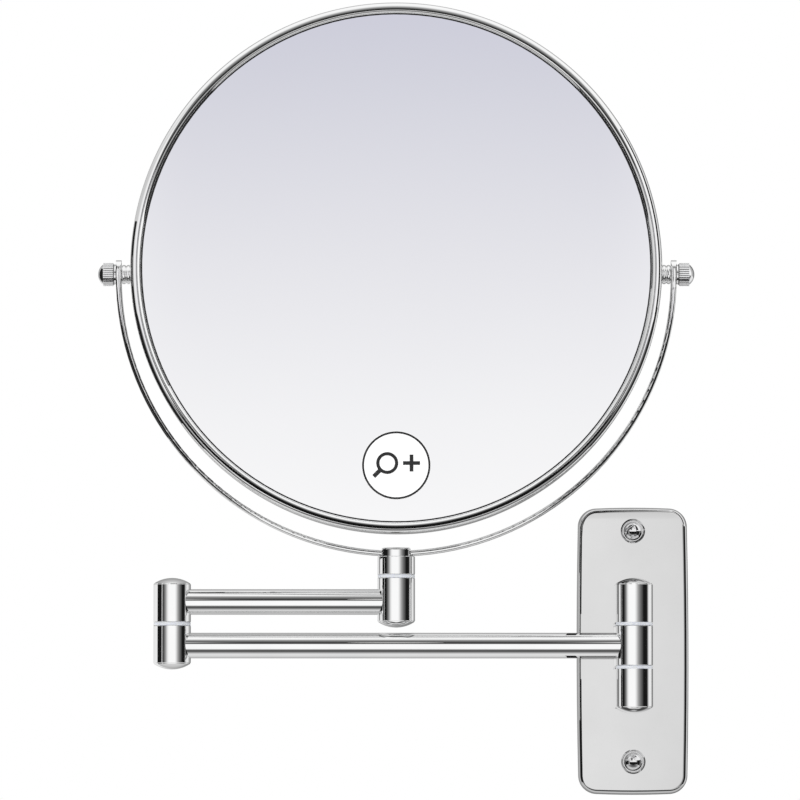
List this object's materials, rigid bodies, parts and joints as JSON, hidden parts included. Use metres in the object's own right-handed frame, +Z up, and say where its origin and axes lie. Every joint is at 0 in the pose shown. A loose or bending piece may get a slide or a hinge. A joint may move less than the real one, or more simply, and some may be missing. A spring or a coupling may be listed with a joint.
{
  "type": "extendable shaving mirror",
  "caption": "Round two-sided shaving mirror in a bow yoke, on a folding two-tube wall arm with stacked sleeve hinges and a rounded oblong wall plate.",
  "frame": {"origin": "the point of the wall plane behind the middle of the wall hinge, halfway between the two wall screws", "axes": "+Y into the wall, so the user stands on the -Y side; +X to the right for the user; +Z up. The rest pose is folded flat: long arm to -X, short arm back above it, mirror facing -Y"},
  "size_m": [0.2388, 0.0495, 0.3166],
  "materials": {
    "chrome": "polished chrome plating",
    "plain_steel": "zinc-plated steel, hidden fasteners",
    "nylon": "translucent white nylon",
    "mirror_glass": "silvered glass",
    "black_seal": "black rubber",
    "inner_board": "plain plastic and card, hidden",
    "sticker": "white printed film"
  },
  "bodies": {
    "wall_mount": {"wall_plate": "chrome", "wall_screws": "chrome", "hinge_bracket": "chrome", "bracket_screws": "plain_steel", "wall_hinge_bolt": "plain_steel", "wall_spring_washer": "plain_steel", "wall_hinge_nut": "plain_steel", "wall_cap_top": "chrome", "wall_cap_bottom": "chrome", "wall_washer_upper": "nylon", "wall_washer_lower": "nylon"},
    "long_arm": {"long_arm_tube": "chrome", "wall_knuckle": "chrome", "elbow_lower_knuckle": "chrome", "elbow_bolt": "plain_steel", "elbow_spring_washer": "plain_steel", "elbow_nut": "plain_steel", "elbow_cap_bottom": "chrome", "elbow_washer": "nylon"},
    "short_arm": {"short_arm_tube": "chrome", "elbow_upper_knuckle": "chrome", "head_knuckle": "chrome", "elbow_cap_top": "chrome", "head_cap_bottom": "chrome", "head_washer": "nylon"},
    "yoke": {"yoke_socket": "chrome", "yoke_bow": "chrome", "bow_screw": "plain_steel", "head_bolt": "plain_steel", "head_spring_washer": "plain_steel", "left_friction_washer": "chrome", "right_friction_washer": "chrome"},
    "mirror_head": {"front_bezel": "chrome", "rear_bezel": "chrome", "rim_band": "plain_steel", "glass_spacer": "inner_board", "front_gasket": "black_seal", "rear_gasket": "black_seal", "magnifying_glass": "mirror_glass", "flat_glass": "mirror_glass", "backing_board": "inner_board", "face_mark": "sticker", "left_pivot_boss": "chrome", "right_pivot_boss": "chrome"},
    "left_knob": {"left_knob": "chrome"},
    "right_knob": {"right_knob": "chrome"}
  },
  "joints": [
    {"name": "wall_swing", "type": "hinge", "parent": "wall_mount", "child": "long_arm", "pos_m": [0, -0.0205, 0], "axis": [0, 0, 1], "range_deg": [0, 180]},
    {"name": "elbow_fold", "type": "hinge", "parent": "long_arm", "child": "short_arm", "pos_m": [-0.1845, -0.0205, 0.01], "axis": [0, 0, 1], "continuous": true},
    {"name": "head_swivel", "type": "hinge", "parent": "short_arm", "child": "yoke", "pos_m": [-0.095, -0.0205, 0.0276], "axis": [0, 0, 1], "continuous": true},
    {"name": "mirror_tilt", "type": "hinge", "parent": "yoke", "child": "mirror_head", "pos_m": [-0.095, -0.0205, 0.1485], "axis": [1, 0, 0], "continuous": true},
    {"name": "left_knob_turn", "type": "hinge", "parent": "mirror_head", "child": "left_knob", "pos_m": [-0.21, -0.0205, 0.1485], "axis": [-1, 0, 0], "range_deg": [0, 360]},
    {"name": "right_knob_turn", "type": "hinge", "parent": "mirror_head", "child": "right_knob", "pos_m": [0.02, -0.0205, 0.1485], "axis": [1, 0, 0], "range_deg": [0, 360]}
  ]
}
